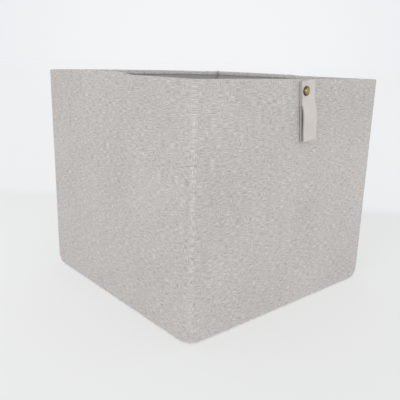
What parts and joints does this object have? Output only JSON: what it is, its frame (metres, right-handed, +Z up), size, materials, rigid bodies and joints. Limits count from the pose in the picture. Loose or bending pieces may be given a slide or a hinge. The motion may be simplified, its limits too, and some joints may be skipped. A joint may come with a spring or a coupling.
{
  "type": "fabric storage bin",
  "caption": "Open-topped cube-shelf storage bin of stiffened linen-look fabric, with a riveted pull strap on the front and side walls that crease inwards so it folds flat.",
  "frame": {"origin": "middle of the bin's underside, on the surface that it stands on", "axes": "+Z up, -Y towards the front wall that carries the pull strap, +X to the viewer's right when facing that wall"},
  "size_m": [0.33, 0.3357, 0.296],
  "materials": {
    "outer_fabric": "matte woven linen look, heathered greige",
    "lining_fabric": "matte plain weave, dark grey",
    "backing_cloth": "matte non-woven cloth, dark grey",
    "board": "matte grey-brown chipboard (paperboard)",
    "strap_leather": "smooth satin faux leather, light beige grey",
    "rivet_brass": "antique brass, softly polished"
  },
  "bodies": {
    "front_wall": {"front_board": "board", "front_cover": "outer_fabric", "front_lining": "lining_fabric", "bottom_cloth": "outer_fabric", "strap_clamped_end": "strap_leather", "rivet_cap": "rivet_brass", "rivet_post": "rivet_brass"},
    "left_front_half": {"left_front_board": "board", "left_front_cover": "outer_fabric", "left_front_lining": "lining_fabric"},
    "left_rear_half": {"left_rear_board": "board", "left_rear_cover": "outer_fabric", "left_rear_lining": "lining_fabric"},
    "right_front_half": {"right_front_board": "board", "right_front_cover": "outer_fabric", "right_front_lining": "lining_fabric"},
    "right_rear_half": {"right_rear_board": "board", "right_rear_cover": "outer_fabric", "right_rear_lining": "lining_fabric"},
    "rear_wall": {"rear_board": "board", "rear_cover": "outer_fabric", "rear_lining": "lining_fabric"},
    "base_insert": {"insert_board": "board", "insert_cover": "lining_fabric", "insert_backing": "backing_cloth"},
    "pull_loop": {"strap_loop": "strap_leather"}
  },
  "joints": [
    {"name": "front_left_corner_fold", "type": "hinge", "parent": "front_wall", "child": "left_front_half", "pos_m": [-0.1604, -0.16, 0.15], "axis": [0, 0, -1], "range_deg": [0, 88], "deforming": ["bottom_cloth"]},
    {"name": "left_crease_fold", "type": "hinge", "parent": "left_front_half", "child": "left_rear_half", "pos_m": [-0.1653, 0, 0.15], "axis": [0, 0, 1], "range_deg": [0, 176]},
    {"name": "rear_left_corner_fold", "type": "hinge", "parent": "left_rear_half", "child": "rear_wall", "pos_m": [-0.1604, 0.16, 0.15], "axis": [0, 0, -1], "range_deg": [0, 88]},
    {"name": "front_right_corner_fold", "type": "hinge", "parent": "front_wall", "child": "right_front_half", "pos_m": [0.1604, -0.16, 0.15], "axis": [0, 0, 1], "range_deg": [0, 88]},
    {"name": "right_crease_fold", "type": "hinge", "parent": "right_front_half", "child": "right_rear_half", "pos_m": [0.1653, 0, 0.15], "axis": [0, 0, -1], "range_deg": [0, 176]},
    {"name": "base_insert_lift", "type": "slide", "parent": "front_wall", "child": "base_insert", "axis": [0, 0, 1], "range_m": [0, 0.32]},
    {"name": "pull_loop_swing", "type": "hinge", "parent": "front_wall", "child": "pull_loop", "pos_m": [0.00464, -0.1688, 0.27316], "axis": [-0.9925, 0, -0.1219], "range_deg": [0, 90]}
  ],
  "couplings": [
    {"joint": "left_crease_fold", "follows": "front_left_corner_fold", "ratio": 2},
    {"joint": "rear_left_corner_fold", "follows": "front_left_corner_fold", "ratio": 1},
    {"joint": "front_right_corner_fold", "follows": "front_left_corner_fold", "ratio": 1},
    {"joint": "right_crease_fold", "follows": "front_left_corner_fold", "ratio": 2}
  ]
}
